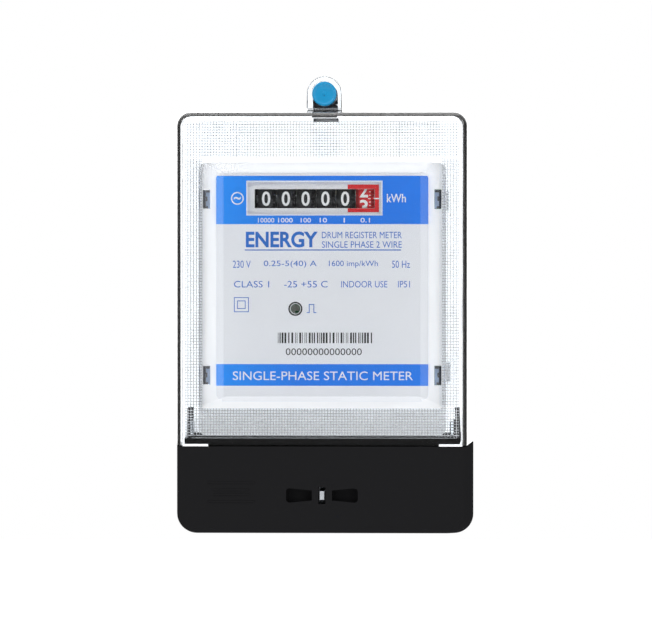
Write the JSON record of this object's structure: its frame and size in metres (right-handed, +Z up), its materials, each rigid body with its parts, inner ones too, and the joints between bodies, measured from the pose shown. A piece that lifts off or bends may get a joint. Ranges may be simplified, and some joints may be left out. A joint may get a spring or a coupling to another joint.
{
  "type": "single-phase electricity meter",
  "caption": "Wall-mounted single-phase electricity meter with a clear cover, a drum register behind a printed plate and a black pull-off terminal cover.",
  "frame": {"origin": "centre of the rear face of the case, on the wall", "axes": "+X to the right seen from the front, +Y into the wall, +Z up"},
  "size_m": [0.112, 0.058, 0.172],
  "materials": {
    "clear_polycarbonate": "polished, fine grid on the front margin",
    "black_plastic": "satin moulded",
    "white_plastic": "satin moulded",
    "blue_seal": "satin",
    "printed_plate": "printed, blue bands",
    "drum_black": "matt with white numbers",
    "drum_red": "matt with white numbers",
    "gear_plastic": "moulded acetal",
    "zinc_plated_steel": "bright zinc",
    "dark_zinc_steel": "black zinc",
    "brass": "turned",
    "copper": "drawn",
    "board_laminate": "green solder mask",
    "film_yellow": "moulded box",
    "capacitor_sleeve": "shrunk sleeve",
    "varistor_coating": "dipped epoxy",
    "chip_black": "moulded epoxy",
    "lamp_resin": "diffused resin",
    "lead_red": "insulated wire",
    "lead_white": "insulated wire",
    "lead_blue": "insulated wire"
  },
  "bodies": {
    "case": {"base_shell": "clear_polycarbonate", "front_cover": "clear_polycarbonate", "light_pipe": "clear_polycarbonate", "terminal_block": "black_plastic", "register_frame": "black_plastic", "motor_case": "black_plastic", "carrier": "white_plastic", "lead_connector": "white_plastic", "register_mask": "white_plastic", "seal_cap": "blue_seal", "nameplate": "printed_plate", "cover_screw": "zinc_plated_steel", "sealing_tongue": "zinc_plated_steel", "drum_shaft": "zinc_plated_steel", "pinion_shaft": "zinc_plated_steel", "board_screw_1": "zinc_plated_steel", "board_screw_2": "zinc_plated_steel", "board_screw_3": "zinc_plated_steel", "board_screw_4": "zinc_plated_steel", "terminal_barrel_1": "brass", "terminal_barrel_2": "brass", "terminal_barrel_3": "brass", "terminal_barrel_4": "brass", "neutral_link": "brass", "shunt_strip": "copper", "motor_coil": "copper", "circuit_board": "board_laminate", "film_capacitor": "film_yellow", "electrolytic_capacitor": "capacitor_sleeve", "varistor": "varistor_coating", "metering_chip": "chip_black", "pulse_lamp": "lamp_resin", "shunt_lead_in": "lead_red", "shunt_lead_out": "lead_white", "neutral_lead": "lead_blue"},
    "drum_10000": {"drum_10000": "drum_black"},
    "drum_1000": {"drum_1000": "drum_black"},
    "drum_100": {"drum_100": "drum_black"},
    "drum_10": {"drum_10": "drum_black"},
    "drum_1": {"drum_1": "drum_black"},
    "drum_tenths": {"drum_tenths": "drum_red"},
    "transfer_pinion_1": {"transfer_pinion_1": "gear_plastic"},
    "transfer_pinion_2": {"transfer_pinion_2": "gear_plastic"},
    "transfer_pinion_3": {"transfer_pinion_3": "gear_plastic"},
    "transfer_pinion_4": {"transfer_pinion_4": "gear_plastic"},
    "transfer_pinion_5": {"transfer_pinion_5": "gear_plastic"},
    "reduction_gear": {"reduction_gear": "gear_plastic"},
    "motor_rotor": {"motor_rotor": "gear_plastic"},
    "hanger": {"hanger": "dark_zinc_steel"},
    "terminal_cover": {"terminal_cover": "black_plastic"},
    "clamp_screw_1": {"clamp_screw_1": "zinc_plated_steel"},
    "clamp_screw_2": {"clamp_screw_2": "zinc_plated_steel"},
    "clamp_screw_3": {"clamp_screw_3": "zinc_plated_steel"},
    "clamp_screw_4": {"clamp_screw_4": "zinc_plated_steel"},
    "clamp_screw_5": {"clamp_screw_5": "zinc_plated_steel"},
    "clamp_screw_6": {"clamp_screw_6": "zinc_plated_steel"},
    "clamp_screw_7": {"clamp_screw_7": "zinc_plated_steel"},
    "clamp_screw_8": {"clamp_screw_8": "zinc_plated_steel"}
  },
  "joints": [
    {"name": "drum_10000_spin", "type": "hinge", "parent": "case", "child": "drum_10000", "pos_m": [-0.0207, -0.0399, 0.0457], "axis": [-1, 0, 0], "continuous": true},
    {"name": "drum_1000_spin", "type": "hinge", "parent": "case", "child": "drum_1000", "pos_m": [-0.01342, -0.0399, 0.0457], "axis": [-1, 0, 0], "continuous": true},
    {"name": "drum_100_spin", "type": "hinge", "parent": "case", "child": "drum_100", "pos_m": [-0.00614, -0.0399, 0.0457], "axis": [-1, 0, 0], "continuous": true},
    {"name": "drum_10_spin", "type": "hinge", "parent": "case", "child": "drum_10", "pos_m": [0.00114, -0.0399, 0.0457], "axis": [-1, 0, 0], "continuous": true},
    {"name": "drum_1_spin", "type": "hinge", "parent": "case", "child": "drum_1", "pos_m": [0.00842, -0.0399, 0.0457], "axis": [-1, 0, 0], "continuous": true},
    {"name": "drum_tenths_spin", "type": "hinge", "parent": "case", "child": "drum_tenths", "pos_m": [0.0157, -0.0399, 0.0457], "axis": [-1, 0, 0], "continuous": true},
    {"name": "transfer_pinion_1_spin", "type": "hinge", "parent": "case", "child": "transfer_pinion_1", "pos_m": [-0.01706, -0.0273, 0.0457], "axis": [-1, 0, 0], "continuous": true},
    {"name": "transfer_pinion_2_spin", "type": "hinge", "parent": "case", "child": "transfer_pinion_2", "pos_m": [-0.00978, -0.0273, 0.0457], "axis": [-1, 0, 0], "continuous": true},
    {"name": "transfer_pinion_3_spin", "type": "hinge", "parent": "case", "child": "transfer_pinion_3", "pos_m": [-0.0025, -0.0273, 0.0457], "axis": [-1, 0, 0], "continuous": true},
    {"name": "transfer_pinion_4_spin", "type": "hinge", "parent": "case", "child": "transfer_pinion_4", "pos_m": [0.00478, -0.0273, 0.0457], "axis": [-1, 0, 0], "continuous": true},
    {"name": "transfer_pinion_5_spin", "type": "hinge", "parent": "case", "child": "transfer_pinion_5", "pos_m": [0.01206, -0.0273, 0.0457], "axis": [-1, 0, 0], "continuous": true},
    {"name": "reduction_gear_spin", "type": "hinge", "parent": "case", "child": "reduction_gear", "pos_m": [0.0212, -0.0273, 0.0457], "axis": [-1, 0, 0], "continuous": true},
    {"name": "motor_rotor_spin", "type": "hinge", "parent": "case", "child": "motor_rotor", "pos_m": [0.0262, -0.0273, 0.0377], "axis": [-1, 0, 0], "continuous": true},
    {"name": "hanger_slide", "type": "slide", "parent": "case", "child": "hanger", "axis": [0, 0, 1], "range_m": [0, 0.01]},
    {"name": "terminal_cover_slide", "type": "slide", "parent": "case", "child": "terminal_cover", "axis": [0, -1, 0], "range_m": [0, 0.06]},
    {"name": "clamp_screw_1_travel", "type": "slide", "parent": "case", "child": "clamp_screw_1", "axis": [0, 1, 0], "range_m": [0, 0.0045]},
    {"name": "clamp_screw_2_travel", "type": "slide", "parent": "case", "child": "clamp_screw_2", "axis": [0, 1, 0], "range_m": [0, 0.0045]},
    {"name": "clamp_screw_3_travel", "type": "slide", "parent": "case", "child": "clamp_screw_3", "axis": [0, 1, 0], "range_m": [0, 0.0045]},
    {"name": "clamp_screw_4_travel", "type": "slide", "parent": "case", "child": "clamp_screw_4", "axis": [0, 1, 0], "range_m": [0, 0.0045]},
    {"name": "clamp_screw_5_travel", "type": "slide", "parent": "case", "child": "clamp_screw_5", "axis": [0, 1, 0], "range_m": [0, 0.0045]},
    {"name": "clamp_screw_6_travel", "type": "slide", "parent": "case", "child": "clamp_screw_6", "axis": [0, 1, 0], "range_m": [0, 0.0045]},
    {"name": "clamp_screw_7_travel", "type": "slide", "parent": "case", "child": "clamp_screw_7", "axis": [0, 1, 0], "range_m": [0, 0.0045]},
    {"name": "clamp_screw_8_travel", "type": "slide", "parent": "case", "child": "clamp_screw_8", "axis": [0, 1, 0], "range_m": [0, 0.0045]}
  ],
  "couplings": [
    {"joint": "drum_10000_spin", "follows": "drum_tenths_spin", "ratio": 0.00001},
    {"joint": "drum_1000_spin", "follows": "drum_tenths_spin", "ratio": 0.0001},
    {"joint": "drum_100_spin", "follows": "drum_tenths_spin", "ratio": 0.001},
    {"joint": "drum_10_spin", "follows": "drum_tenths_spin", "ratio": 0.01},
    {"joint": "drum_1_spin", "follows": "drum_tenths_spin", "ratio": 0.1},
    {"joint": "transfer_pinion_1_spin", "follows": "drum_tenths_spin", "ratio": -0.000025},
    {"joint": "transfer_pinion_2_spin", "follows": "drum_tenths_spin", "ratio": -0.00025},
    {"joint": "transfer_pinion_3_spin", "follows": "drum_tenths_spin", "ratio": -0.0025},
    {"joint": "transfer_pinion_4_spin", "follows": "drum_tenths_spin", "ratio": -0.025},
    {"joint": "transfer_pinion_5_spin", "follows": "drum_tenths_spin", "ratio": -0.25},
    {"joint": "reduction_gear_spin", "follows": "drum_tenths_spin", "ratio": -2.5},
    {"joint": "motor_rotor_spin", "follows": "drum_tenths_spin", "ratio": 7.5}
  ]
}
